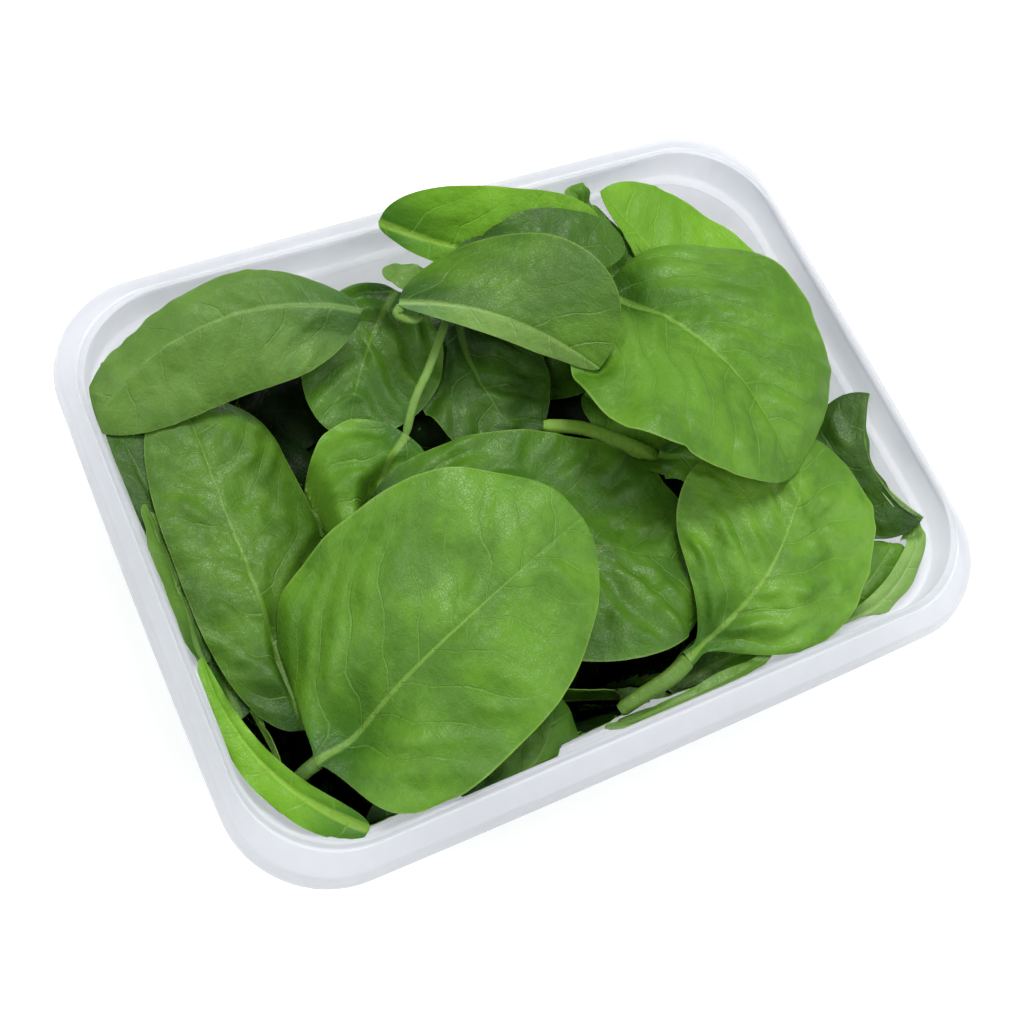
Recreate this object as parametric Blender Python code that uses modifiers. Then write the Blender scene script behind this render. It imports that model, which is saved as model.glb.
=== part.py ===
"""Open translucent plastic tray heaped with loose young spinach leaves.

Metres, +Z up. The origin is the middle of the tray's underside. X runs along
the long side of the tray and Y across it.

Two solids:
  tray          thin formed shell: flat floor, sloping walls, a lid ledge,
                and a flange that turns down into a short skirt
  spinach_heap  the heap of leaves as one body, out to its uneven outline
"""

import math

import bmesh
import bpy
from mathutils import Vector

# ---------------------------------------------------------------- tray sizes
TRAY_LENGTH = 0.182          # across the flange at the corners, along X
TRAY_WIDTH = 0.140           # the same along Y
SIDE_CROWN = 0.001           # how far the middle of each flange side bows out
CORNER_RADIUS = 0.021        # of the flange, seen from above
LIP_HEIGHT = 0.048           # the inner lip, the highest line of the plastic
FLANGE_DROP = 0.0030         # the flange falls this much from lip to outer edge
SKIRT_DEPTH = 0.0045         # the turned-down edge, below the flange
SKIRT_FLARE = 0.0005         # the skirt leans outwards by this
HEM = 0.0004                 # the skirt's bottom edge stands out by this
PLASTIC = 0.0008             # wall thickness

MOUTH_LENGTH = 0.1746        # inside the lip, along X
MOUTH_WIDTH = 0.1284         # inside the lip, along Y
MOUTH_RADIUS = 0.0225
COLLAR_DEPTH = 0.0085        # near-upright band between the lip and the ledge
COLLAR_LEAN = 0.0004
LEDGE = 0.0020               # width of the step all round, where a lid would sit
LEDGE_FALL = 0.0007
WALL_LEAN = 0.0072           # the wall runs in by this between ledge and floor
FLOOR_ROUND = 0.0070         # radius between the wall and the floor
FLOOR_ROUND_STEPS = 4
EDGE_ROUND = 0.0008          # radius where the flange turns
CORNER_STEPS = 6             # straight pieces in each quarter corner
SIDE_STEPS = 4               # pieces in each side, so that its bow shows

# ---------------------------------------------------------------- heap sizes
GAP = 0.0003                 # clearance between the heap and the plastic
HEAP_RINGS = 26              # from the wall to the middle
HEAP_CORNER_STEPS = 10
HEAP_SIDE_STEPS = 11
EDGE_LEVEL = 0.030           # height at which the heap meets the wall
EDGE_ROLL = 0.003            # how unevenly
CROWN_LEVEL = 0.041          # the bed of leaves in the middle, under the top ones
LEAF_BEND = 0.16             # rise of a leaf's middle over its edge, of its half width

# The free space along the right wall and in its far corner, where no leaf lies.
BARE_LEVEL = 0.020
BARE_FROM_X = 0.0745
BARE_MIDDLE_Y = 0.025
BARE_HALF_Y = 0.038
BARE_SOFTNESS = 0.002

# The leaves on top: middle (x, y, z), half length, half width in millimetres,
# then heading, rise towards the tip and tilt to the side in degrees.
TOP_LEAVES = (
    (-42, -31, 52, 40, 28, 21, 18, -5),
    (6, 33, 67, 24, 12, -35, 4, 15),
    (9, 47, 61, 27, 8, -20, -6, 38),
    (12, 39, 55, 23, 9, 2, -2, 13),
    (45, 4, 59, 32, 31, -72, 4, -7),
    (60, 32, 51, 29, 12, -63, -9, 2),
    (35, -43, 45, 39, 23, 39, 12, 3),
    (-7, -19, 44, 38, 25, -31, 2, 1),
    (-56, 46, 54, 31, 12, 2, 7, 18),
    (-67, 2, 41, 39, 15, 89, 7, 7),
    (-27, 19, 47, 25, 16, 44, 10, 18),
    (-24, 36, 43, 19, 15, 51, 7, 3),
    (-2, 20, 43, 17, 15, -83, -6, 8),
    (30, 3, 43, 18, 9, -54, 2, 4),
    (38, 42, 55, 12, 5, -82, -12, 10),
    (76, -28, 41, 18, 9, 83, 3, -25),
    (65, -55, 41, 19, 8, 24, 10, 4),
    (-79, -42, 43, 24, 7, -67, -12, 5),
    (-79, 9, 41, 25, 6, -85, -8, 0),
    (-8, -59, 39, 40, 6, 4, 2, 0),
)

MM = 0.001


def clear_scene():
    """Remove what a new file starts with."""
    for obj in list(bpy.data.objects):
        bpy.data.objects.remove(obj, do_unlink=True)


def new_material(name, colour, roughness, transmission=0.0):
    """A Principled material of one plain colour."""
    material = bpy.data.materials.new(name)
    material.use_nodes = True
    shader = material.node_tree.nodes["Principled BSDF"]
    shader.inputs["Base Color"].default_value = (*colour, 1.0)
    shader.inputs["Roughness"].default_value = roughness
    shader.inputs["Metallic"].default_value = 0.0
    shader.inputs["Transmission Weight"].default_value = transmission
    material.diffuse_color = (*colour, 1.0)
    return material


def bowed(value, half, along, along_half, crown):
    """Push a point that lies near one side outwards, most at the side's middle."""
    nearness = (abs(value) / half) ** 4
    bow = crown * (1 - (along / along_half) ** 2) * nearness
    return value + math.copysign(bow, value)


def rounded_outline(half_x, half_y, radius, crown, corner_steps, side_steps):
    """Points anticlockwise round a rectangle with round corners and bowed sides."""
    corners = []
    for quarter, (sx, sy) in enumerate(((1, 1), (-1, 1), (-1, -1), (1, -1))):
        centre = Vector((sx * (half_x - radius), sy * (half_y - radius)))
        for step in range(corner_steps + 1):
            angle = math.radians(90) * (quarter + step / corner_steps)
            corners.append(centre + radius * Vector((math.cos(angle), math.sin(angle))))
    points = []
    for index, point in enumerate(corners):
        points.append(point)
        following = corners[(index + 1) % len(corners)]
        if index % (corner_steps + 1) == corner_steps:
            for step in range(1, side_steps):
                points.append(point.lerp(following, step / side_steps))
    return [
        Vector((
            bowed(p.x, half_x, p.y, half_y, crown),
            bowed(p.y, half_y, p.x, half_x, crown),
        ))
        for p in points
    ]


def tray_sections():
    """The tray's inner surface from the floor to the skirt's hem.

    Each section is half length, half width, corner radius, bow and height.
    """
    mouth_x, mouth_y = MOUTH_LENGTH / 2, MOUTH_WIDTH / 2
    ledge_z = LIP_HEIGHT - COLLAR_DEPTH
    collar = COLLAR_LEAN
    inset = collar + LEDGE
    wall_top = ledge_z - LEDGE_FALL
    wall_foot = PLASTIC + FLOOR_ROUND
    sections = []
    for step in range(FLOOR_ROUND_STEPS + 1):
        angle = math.radians(90) * step / FLOOR_ROUND_STEPS
        run_in = inset + WALL_LEAN + FLOOR_ROUND * (1 - math.sin(angle))
        height = PLASTIC + FLOOR_ROUND * (1 - math.cos(angle))
        sections.append((mouth_x - run_in, mouth_y - run_in, MOUTH_RADIUS - run_in / 3, 0.0, height))
    middle = inset + WALL_LEAN / 2
    sections.append((
        mouth_x - middle, mouth_y - middle, MOUTH_RADIUS - middle / 3, 0.0,
        (wall_foot + wall_top) / 2,
    ))
    sections.append((mouth_x - inset, mouth_y - inset, MOUTH_RADIUS - inset / 3, 0.0, wall_top))
    sections.append((mouth_x - collar, mouth_y - collar, MOUTH_RADIUS, 0.0, ledge_z))
    sections.append((mouth_x, mouth_y, MOUTH_RADIUS, 0.0, LIP_HEIGHT - EDGE_ROUND))
    sections.append((
        mouth_x + EDGE_ROUND, mouth_y + EDGE_ROUND, MOUTH_RADIUS, 0.0, LIP_HEIGHT,
    ))
    edge_z = LIP_HEIGHT - FLANGE_DROP
    edge_x, edge_y = TRAY_LENGTH / 2, TRAY_WIDTH / 2
    sections.append((
        edge_x - EDGE_ROUND, edge_y - EDGE_ROUND, CORNER_RADIUS - EDGE_ROUND, SIDE_CROWN,
        edge_z + EDGE_ROUND / 4,
    ))
    sections.append((edge_x, edge_y, CORNER_RADIUS, SIDE_CROWN, edge_z - EDGE_ROUND))
    foot_z = edge_z - SKIRT_DEPTH
    skirt = SKIRT_FLARE
    sections.append((
        edge_x + skirt, edge_y + skirt, CORNER_RADIUS + skirt, SIDE_CROWN, foot_z + 2 * HEM,
    ))
    hem = SKIRT_FLARE + HEM
    sections.append((edge_x + hem, edge_y + hem, CORNER_RADIUS + hem, SIDE_CROWN, foot_z))
    return sections


def section_points(section, corner_steps, side_steps):
    """A section's outline as 3-D points."""
    half_x, half_y, radius, crown, height = section
    outline = rounded_outline(half_x, half_y, radius, crown, corner_steps, side_steps)
    return [Vector((p.x, p.y, height)) for p in outline]


def bridge(mesh, lower, upper):
    """Quads between two rings of the same count."""
    count = len(lower)
    for i in range(count):
        j = (i + 1) % count
        mesh.faces.new((lower[i], lower[j], upper[j], upper[i]))


def finish_object(name, mesh, material, collection):
    """Turn a bmesh into a linked object with its material."""
    bmesh.ops.recalc_face_normals(mesh, faces=mesh.faces)
    data = bpy.data.meshes.new(name)
    mesh.to_mesh(data)
    mesh.free()
    data.materials.append(material)
    data.shade_smooth()
    data.set_sharp_from_angle(angle=math.radians(35))
    obj = bpy.data.objects.new(name, data)
    collection.objects.link(obj)
    return obj


def build_tray(collection):
    """The shell: its inner surface lofted through the sections, then given thickness."""
    mesh = bmesh.new()
    rings = []
    for section in tray_sections():
        points = section_points(section, CORNER_STEPS, SIDE_STEPS)
        rings.append([mesh.verts.new(p) for p in points])
    mesh.faces.new(rings[0])
    for lower, upper in zip(rings, rings[1:]):
        bridge(mesh, lower, upper)
    material = new_material("frosted_plastic", (0.90, 0.92, 0.95), 0.35, 0.4)
    tray = finish_object("tray", mesh, material, collection)
    if tray.data.polygons[0].normal.z < 0:
        tray.data.flip_normals()
    solidify = tray.modifiers.new("thickness", "SOLIDIFY")
    solidify.thickness = PLASTIC
    solidify.offset = -1.0
    solidify.use_even_offset = True
    solidify.thickness_clamp = 0.0
    return tray


def inside_at(height):
    """The tray's inner section at a height, by sliding between its sections."""
    sections = tray_sections()[: FLOOR_ROUND_STEPS + 5]
    for lower, upper in zip(sections, sections[1:]):
        if lower[4] <= height <= upper[4]:
            share = (height - lower[4]) / (upper[4] - lower[4])
            return [a + (b - a) * share for a, b in zip(lower, upper)]
    raise ValueError("no inner section at this height")


def heap_ring(height, inset):
    """Points round the heap's side at a height, clear of the wall."""
    half_x, half_y, radius, crown, _ = inside_at(height)
    section = (half_x - inset, half_y - inset, radius, crown, height)
    return section_points(section, HEAP_CORNER_STEPS, HEAP_SIDE_STEPS)


def leaf_height(x, y, leaf):
    """Height of one top leaf's surface over (x, y), or None beside it."""
    cx, cy, cz, half_length, half_width, heading, rise, tilt = leaf
    turn = math.radians(heading)
    dx, dy = x - cx * MM, y - cy * MM
    along = dx * math.cos(turn) + dy * math.sin(turn)
    across = -dx * math.sin(turn) + dy * math.cos(turn)
    u, v = along / (half_length * MM), across / (half_width * MM)
    spread = u * u + v * v
    if spread > 1:
        return None
    bend = LEAF_BEND * half_width * MM * (0.6 - spread)
    lean = along * math.tan(math.radians(rise)) + across * math.tan(math.radians(tilt))
    return cz * MM + lean + bend


def bed_height(x, y, share):
    """The bed of leaves that the top ones lie on. share is 0 at the wall, 1 in the middle."""
    roll = EDGE_ROLL * (math.sin(x * 90 + 1.0) + math.cos(y * 110 - 0.5))
    return EDGE_LEVEL + (CROWN_LEVEL - EDGE_LEVEL) * math.sin(share * math.pi / 2) + roll


def bareness(x, y):
    """1 in the middle of the free space by the right wall, falling to 0 round it."""
    depth = min(x - BARE_FROM_X, BARE_HALF_Y - abs(y - BARE_MIDDLE_Y))
    return max(0.0, min(1.0, depth / BARE_SOFTNESS))


def heap_height(x, y, share):
    """The heap's upper surface: the highest leaf there, or the bed between leaves."""
    level = bed_height(x, y, share)
    bare = bareness(x, y)
    level += (BARE_LEVEL - level) * bare
    if bare < 0.5:
        for leaf in TOP_LEAVES:
            top = leaf_height(x, y, leaf)
            if top is not None:
                level = max(level, top)
    return level


def edge_height(point):
    """Where the heap meets the wall: below the ledge, so that the wall holds it."""
    level = bed_height(point.x, point.y, 0.0)
    return level + (BARE_LEVEL - level) * bareness(point.x, point.y)


def build_heap(collection):
    """One closed body: floor, sides that follow the wall, and the uneven top."""
    mesh = bmesh.new()
    floor_z = PLASTIC + GAP
    floor_ring = heap_ring(floor_z, 2 * GAP)
    knee_z = PLASTIC + FLOOR_ROUND / 3
    knee_ring = heap_ring(knee_z, 2 * GAP)
    foot_z = PLASTIC + FLOOR_ROUND
    foot_ring = heap_ring(foot_z, 2 * GAP)
    rim_guess = heap_ring(EDGE_LEVEL, GAP)
    rim_ring = []
    for index, guess in enumerate(rim_guess):
        height = edge_height(guess)
        rim_ring.append(heap_ring(height, 2 * GAP)[index])
    rings = [[mesh.verts.new(p) for p in ring]
             for ring in (floor_ring, knee_ring, foot_ring, rim_ring)]
    mesh.faces.new(rings[0])
    for step in range(1, HEAP_RINGS):
        share = step / HEAP_RINGS
        ring = []
        for point in rim_ring:
            x, y = point.x * (1 - share), point.y * (1 - share)
            ring.append(mesh.verts.new((x, y, heap_height(x, y, share))))
        rings.append(ring)
    for lower, upper in zip(rings, rings[1:]):
        bridge(mesh, lower, upper)
    peak = mesh.verts.new((0.0, 0.0, heap_height(0.0, 0.0, 1.0)))
    last = rings[-1]
    for i, vert in enumerate(last):
        mesh.faces.new((vert, last[(i + 1) % len(last)], peak))
    material = new_material("spinach_leaf", (0.07, 0.22, 0.03), 0.5)
    return finish_object("spinach_heap", mesh, material, collection)


def main():
    clear_scene()
    collection = bpy.data.collections.new("tray_of_spinach_leaves")
    bpy.context.scene.collection.children.link(collection)
    build_tray(collection)
    build_heap(collection)


main()
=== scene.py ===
# %% [markdown]
# # A tray of young spinach leaves
#
# The real object is a shallow tray of cloudy white plastic with a heap of
# loose leaves in it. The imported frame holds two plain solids: the tray and the
# heap. This lesson replaces both with finer work at the same size: a formed
# shell with a rolled rim, and leaves that are modelled one by one and laid on
# each other. Everything is in metres, with the origin under the middle of the
# tray, X along its long side and Z up.

# %% Load the frame
import math

import bpy
import numpy as np
from mathutils import Matrix, Vector


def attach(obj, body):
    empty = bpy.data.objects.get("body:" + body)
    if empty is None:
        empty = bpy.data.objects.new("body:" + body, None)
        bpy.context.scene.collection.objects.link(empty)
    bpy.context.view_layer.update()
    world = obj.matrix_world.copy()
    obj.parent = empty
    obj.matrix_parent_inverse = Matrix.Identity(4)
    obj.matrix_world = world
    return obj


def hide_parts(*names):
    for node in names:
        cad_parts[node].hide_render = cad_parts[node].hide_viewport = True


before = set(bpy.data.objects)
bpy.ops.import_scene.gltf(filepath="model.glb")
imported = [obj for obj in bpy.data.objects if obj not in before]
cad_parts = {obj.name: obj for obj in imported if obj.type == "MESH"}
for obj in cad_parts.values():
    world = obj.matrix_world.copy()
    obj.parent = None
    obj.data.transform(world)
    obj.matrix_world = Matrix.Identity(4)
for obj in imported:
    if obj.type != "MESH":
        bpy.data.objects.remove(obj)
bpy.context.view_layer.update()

print("frame nodes:", sorted(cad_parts))

# %% [markdown]
# ## Working units
#
# A leaf is easier to describe in millimetres, so all the shape work here is
# done in millimetres, and numbers turn into metres only when a mesh is made.
# A mesh could be built face by face with bmesh. Whole arrays handed over at
# once are much faster for the tens of thousands of faces that soft leaves
# need, so one helper does that for every piece.

# %% Turn arrays into a piece
MM = 0.001


def new_piece(name, points, quads, materials, kinds, maps):
    """A smooth mesh object from arrays: points in millimetres, and one UV map for each entry of maps."""
    mesh = bpy.data.meshes.new(name)
    mesh.vertices.add(len(points))
    mesh.vertices.foreach_set("co", np.ravel(points * MM).astype(np.float32))
    mesh.loops.add(quads.size)
    mesh.loops.foreach_set("vertex_index", np.ravel(quads).astype(np.int32))
    mesh.polygons.add(len(quads))
    mesh.polygons.foreach_set("loop_start", np.arange(0, quads.size, 4, dtype=np.int32))
    mesh.polygons.foreach_set("loop_total", np.full(len(quads), 4, np.int32))
    for material in materials:
        mesh.materials.append(material)
    mesh.polygons.foreach_set("material_index", kinds.astype(np.int32))
    for label, values in maps.items():
        layer = mesh.uv_layers.new(name=label)
        layer.data.foreach_set("uv", np.ravel(values).astype(np.float32))
    mesh.validate()
    mesh.update()
    mesh.shade_smooth()
    mesh.set_sharp_from_angle(angle=math.radians(50))
    piece = bpy.data.objects.new(name, mesh)
    bpy.context.scene.collection.objects.link(piece)
    return piece


print("meshes are made in millimetres, one unit is", MM, "m")

# %% [markdown]
# ## The tray's cross-section
#
# A tray like this is drawn from one warm sheet. Going outwards from the middle
# it has a flat floor, a rounded foot, a wall that leans out, a narrow ledge
# where a lid would sit, an upright collar, the lip, a flange that falls away
# from the lip, and a short skirt with a thin hem. It could be a box with
# bevels, but then the ledge and the flange, which is wider at the corners,
# would have to be cut in. A stack of rounded rectangles, one for each line of
# the section, gives them directly.

# %% List the sections of the tray
LIP = 48.0                 # height of the lip
MOUTH = (87.3, 64.2)       # half length and half width inside the lip
MOUTH_RADIUS = 22.5
RIM = (91.0, 70.0)         # half length and half width at the flange's edge
RIM_RADIUS = 21.0
RIM_BOW = 1.0              # the long sides are not quite straight
LEDGE_TOP = 39.5
PLASTIC = 0.8


def inner_ring(inset, height):
    """One level line of the tray's inside: (half length, half width, radius, bow, height)."""
    return (MOUTH[0] - inset, MOUTH[1] - inset, MOUTH_RADIUS - inset / 3, 0.0, height)


def mixed(a, b, share):
    """A section part of the way from a to b."""
    return tuple(p + (q - p) * share for p, q in zip(a, b))


foot = [
    inner_ring(9.6 + 7 * (1 - math.sin(turn)), 0.8 + 7 * (1 - math.cos(turn)))
    for turn in np.linspace(0, math.pi / 2, 9)
]
wall = [inner_ring(9.6 - 7.2 * share, 7.8 + 31 * share) for share in np.linspace(0, 1, 7)[1:]]
ledge = [inner_ring(2.2, 38.9), inner_ring(0.8, 39.35), inner_ring(0.45, LEDGE_TOP + 0.2)]
collar = [inner_ring(0.4 - 0.4 * share, 40.2 + 6.8 * share) for share in (0, 0.5, 1)]
lip_top = (MOUTH[0] + 0.7, MOUTH[1] + 0.7, MOUTH_RADIUS, 0.0, LIP)
shoulder = (RIM[0] - 0.8, RIM[1] - 0.8, RIM_RADIUS - 0.8, RIM_BOW, 45.25)
lip = [(MOUTH[0] + 0.15, MOUTH[1] + 0.15, MOUTH_RADIUS, 0.0, 47.7), lip_top]
groove = [
    mixed(lip_top, shoulder, share)[:4] + (height,)
    for share, height in ((0.07, 47.9), (0.13, 47.25), (0.2, 47.15), (0.27, 47.4))
]
flange = [mixed(groove[-1], shoulder, share) for share in (0.35, 0.7, 1.0)]
skirt = [
    (RIM[0] - 0.25, RIM[1] - 0.25, RIM_RADIUS - 0.2, RIM_BOW, 44.95),
    (RIM[0], RIM[1], RIM_RADIUS, RIM_BOW, 44.3),
    (RIM[0] + 0.45, RIM[1] + 0.45, RIM_RADIUS + 0.5, RIM_BOW, 41.5),
    (RIM[0] + 0.5, RIM[1] + 0.5, RIM_RADIUS + 0.5, RIM_BOW, 41.2),
    (RIM[0] + 0.9, RIM[1] + 0.9, RIM_RADIUS + 0.9, RIM_BOW, 40.95),
    (RIM[0] + 0.9, RIM[1] + 0.9, RIM_RADIUS + 0.9, RIM_BOW, 40.5),
]
sections = foot + wall + ledge + collar + lip + groove + flange + skirt
print("tray sections:", len(sections), "from height", sections[0][4], "to", LIP, "mm")

# %% [markdown]
# ## The tray's shell
#
# Each section becomes a ring of points, and neighbouring rings are joined by
# quads. The open surface then gets its wall thickness from a Solidify
# modifier, which keeps the thickness even round the bends, as a formed sheet
# nearly does.

# %% Draw one ring of a section
CORNER_STEPS = 16
SIDE_STEPS = 14


def ring_points(section):
    """Points anticlockwise round a rounded rectangle whose sides bow out a little."""
    half_x, half_y, radius, bow, height = section
    turns = np.radians(np.linspace(0, 90, CORNER_STEPS + 1))
    arc = radius * np.stack([np.cos(turns), np.sin(turns)], 1)
    centre = np.array([half_x - radius, half_y - radius])
    corners = []
    for quarter in range(4):
        turn = quarter * math.pi / 2
        spin = np.array([[math.cos(turn), math.sin(turn)], [-math.sin(turn), math.cos(turn)]])
        sign = np.array([(1, 1), (-1, 1), (-1, -1), (1, -1)][quarter])
        corners.append(arc @ spin + centre * sign)
    points = []
    for quarter in range(4):
        start, end = corners[quarter][-1], corners[(quarter + 1) % 4][0]
        points.extend(corners[quarter])
        points.extend(start + (end - start) * k / SIDE_STEPS for k in range(1, SIDE_STEPS))
    points = np.array(points)
    half = np.array([half_x, half_y])
    nearness = (np.abs(points) / half) ** 4
    along = 1 - (points[:, ::-1] / half[::-1]) ** 2
    points = points + np.sign(points) * bow * along * nearness
    return np.column_stack([points, np.full(len(points), height)])


rings = np.array([ring_points(section) for section in sections])
print("points in a ring:", rings.shape[1])

# %% Join the rings into a shell
levels, around = rings.shape[:2]
level, spoke = np.meshgrid(np.arange(levels - 1), np.arange(around), indexing="ij")
beside = (spoke + 1) % around
shell_quads = np.stack([
    level * around + spoke,
    level * around + beside,
    (level + 1) * around + beside,
    (level + 1) * around + spoke,
], -1).reshape(-1, 4)
floor_rings = np.array([rings[0] * (share, share, 1) for share in (0.75, 0.5, 0.25, 0.001)])
shell_points = np.concatenate([rings.reshape(-1, 3), floor_rings.reshape(-1, 3)])
floor_chain = [0] + [levels + k for k in range(len(floor_rings))]
floor_quads = [
    (outer * around + (k + 1) % around, outer * around + k, inner * around + k, inner * around + (k + 1) % around)
    for outer, inner in zip(floor_chain, floor_chain[1:])
    for k in range(around)
]
shell_quads = np.concatenate([shell_quads, np.array(floor_quads)])[:, ::-1]
print("faces in the open shell:", len(shell_quads))

# %% [markdown]
# ## Cloudy plastic
#
# The plastic is a milky, slightly bluish polymer. It is neither clear nor
# opaque: light goes in, scatters, and comes out elsewhere. True volume
# scattering in a wall this thin is slow and noisy. A diffuse surface mixed
# with a translucent one, and with a little plain see-through, looks the same
# and shows the leaves behind the wall as a soft green. The mix is cloudier in
# some places than in others, because the sheet was stretched unevenly.

# %% Small helpers for shader nodes
def add_node(tree, kind, **settings):
    """A new node with its settings. A setting named by a socket sets that socket."""
    node = tree.nodes.new(kind)
    for key, value in settings.items():
        if hasattr(node, key):
            setattr(node, key, value)
        else:
            node.inputs[key.replace("_", " ")].default_value = value
    return node


def calculate(tree, operation, first, second=None, third=None):
    """A Math node's result. Each argument is a number or an output socket."""
    node = tree.nodes.new("ShaderNodeMath")
    node.operation = operation
    for index, value in enumerate((first, second, third)):
        if value is None:
            continue
        if isinstance(value, (int, float)):
            node.inputs[index].default_value = value
        else:
            tree.links.new(value, node.inputs[index])
    return node.outputs[0]


def remap(tree, value, low, high, to_low, to_high):
    """A smooth change from one range of values to another."""
    node = add_node(tree, "ShaderNodeMapRange", interpolation_type="SMOOTHSTEP")
    for index, number in enumerate((low, high, to_low, to_high), start=1):
        if isinstance(number, (int, float)):
            node.inputs[index].default_value = number
        else:
            tree.links.new(number, node.inputs[index])
    tree.links.new(value, node.inputs[0])
    return node.outputs[0]


def blend_colours(tree, share, first, second, way="MIX"):
    """A Mix node's colour. share is an output socket, and each colour a socket or a tuple."""
    node = add_node(tree, "ShaderNodeMix", data_type="RGBA", blend_type=way)
    tree.links.new(share, node.inputs["Factor"])
    for label, value in (("A", first), ("B", second)):
        socket = [s for s in node.inputs if s.name == label and s.type == "RGBA"][0]
        if isinstance(value, tuple):
            socket.default_value = (*value, 1.0)
        else:
            tree.links.new(value, socket)
    return [s for s in node.outputs if s.type == "RGBA"][0]


print("node helpers ready")

# %% Make the cloudy plastic
def new_material(name):
    """An empty material with its output node."""
    material = bpy.data.materials.new(name)
    material.use_nodes = True
    material.node_tree.nodes.clear()
    return material, material.node_tree, add_node(material.node_tree, "ShaderNodeOutputMaterial")


def cloudy_plastic():
    """Milky sheet: mostly diffuse, partly translucent, a little see-through."""
    material, tree, output = new_material("cloudy_plastic")
    link = tree.links.new
    place = add_node(tree, "ShaderNodeTexCoord").outputs["Object"]
    clouds = add_node(tree, "ShaderNodeTexNoise", Scale=38.0, Detail=3.0, Roughness=0.55)
    grain = add_node(tree, "ShaderNodeTexNoise", Scale=900.0, Detail=2.0)
    link(place, clouds.inputs["Vector"])
    link(place, grain.inputs["Vector"])
    cloud = clouds.outputs["Fac"]
    colour = blend_colours(tree, cloud, (0.66, 0.675, 0.71), (0.73, 0.74, 0.77))
    bump = add_node(tree, "ShaderNodeBump", Strength=0.12, Distance=0.0003)
    link(grain.outputs["Fac"], bump.inputs["Height"])
    surface = add_node(tree, "ShaderNodeBsdfPrincipled", IOR=1.49)
    link(colour, surface.inputs["Base Color"])
    link(remap(tree, cloud, 0.3, 0.7, 0.34, 0.46), surface.inputs["Roughness"])
    link(bump.outputs["Normal"], surface.inputs["Normal"])
    glow = add_node(tree, "ShaderNodeBsdfTranslucent", Color=(0.95, 0.965, 0.99, 1.0))
    clear = add_node(tree, "ShaderNodeBsdfTransparent", Color=(0.98, 0.985, 1.0, 1.0))
    body = add_node(tree, "ShaderNodeMixShader", Fac=0.5)
    link(surface.outputs[0], body.inputs[1])
    link(glow.outputs[0], body.inputs[2])
    whole = add_node(tree, "ShaderNodeMixShader")
    link(remap(tree, cloud, 0.3, 0.7, 0.36, 0.24), whole.inputs["Fac"])
    link(body.outputs[0], whole.inputs[1])
    link(clear.outputs[0], whole.inputs[2])
    link(whole.outputs[0], output.inputs["Surface"])
    return material


plastic = cloudy_plastic()
tray = new_piece(
    "formed_tray", shell_points, shell_quads, [plastic],
    np.zeros(len(shell_quads)), {},
)
thickness = tray.modifiers.new("sheet_thickness", "SOLIDIFY")
thickness.thickness = PLASTIC * MM
thickness.offset = -1.0
thickness.use_even_offset = True
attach(tray, "root")
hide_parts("tray")
print("tray size, mm:", [round(1000 * d, 1) for d in tray.dimensions])

# %% [markdown]
# ## Where the wall stops a leaf
#
# A leaf that meets the wall bends up along it. To get that, every point of a
# leaf that lies outside the tray's inside at its height is moved back in. How
# far a point is outside a rounded rectangle is easy to say exactly: measure
# from the corner's centre when it is in a corner, and from the side otherwise.

# %% Keep points inside the wall
inner_heights = np.array([s[4] for s in foot + wall + ledge + collar])
inner_sizes = np.array([s[:3] for s in foot + wall + ledge + collar])
WALL_GAP = 0.5


def inside_wall(points, gap=WALL_GAP):
    """Move points that are in or beyond the wall back inside, and up off the floor."""
    moved = points.copy()
    moved[..., 2] = np.maximum(moved[..., 2], PLASTIC + 0.2 + gap)
    height = moved[..., 2]
    half_x, half_y, radius = (np.interp(height, inner_heights, inner_sizes[:, k]) for k in range(3))
    reach = np.stack([
        np.abs(moved[..., 0]) - (half_x - radius),
        np.abs(moved[..., 1]) - (half_y - radius),
    ], -1)
    out = np.maximum(reach, 0)
    length = np.linalg.norm(out, axis=-1)
    excess = length + np.minimum(reach.max(-1), 0) - radius + gap
    holds = np.clip((LIP + 1.5 - height) / 2, 0, 1)
    excess = np.maximum(excess, 0) * holds
    away = out / np.maximum(length, 1e-6)[..., None] * np.sign(moved[..., :2])
    moved[..., :2] -= away * excess[..., None]
    return moved


probe = inside_wall(np.array([[95.0, 0.0, 30.0]]))
print("a point past the right wall at height 30 moves to x =", round(probe[0, 0], 1))

# %% [markdown]
# ## The shape of a leaf
#
# A young spinach leaf is a spoon: a long oval that is widest near its middle
# and bends along its midrib and across it. It could be carved from a
# subdivided plane, or draped with cloth. Describing it by the things a person
# would say about it is easier to lay out: where its base and tip are, how wide
# each half is, how its midrib bows, how each half rises and curls, and how much
# the whole twists from end to end. A leaf that shows its stalk gets a neck, a
# short stretch where the blade narrows down to the stalk's own width.
#
# `s` runs from 0 at the base to 1 at the tip, and `t` from -1 at the right
# margin to 1 at the left one.

# %% Describe a leaf
def leaf(name, base, tip, half, **more):
    """A leaf's description, in millimetres and degrees, with the usual values for what isn't said."""
    plan = dict(
        name=name, base=base, tip=tip, half=half,
        widest=0.47, ends=(2.0, 2.0), lift=3, sway=0, roll=0,
        rise=(4, 4), curl=(-8, -8), twist=0,
        finish="fresh", pucker=0.5, blisters=30, blister=0.5, throat=1,
        wave=0.7, ruffle=0.25, rib=1.1, neck=0.004, pale_half=False,
        rows=88, columns=60, stalk=None, stalk_finish="stalk", presses=True,
    )
    plan.update(more)
    return plan


def width_share(s, widest, ends):
    """Half width along the leaf, from 0 at the ends to 1 at the widest place."""
    nearer_base = s < widest
    x = np.where(nearer_base, (widest - s) / widest, (s - widest) / (1 - widest))
    power = np.where(nearer_base, ends[0], ends[1])
    return np.sqrt(np.clip(1 - np.abs(x) ** power, 0, 1))


def unit(v):
    """Vectors scaled to length 1."""
    return v / np.linalg.norm(v, axis=-1, keepdims=True)


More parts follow.
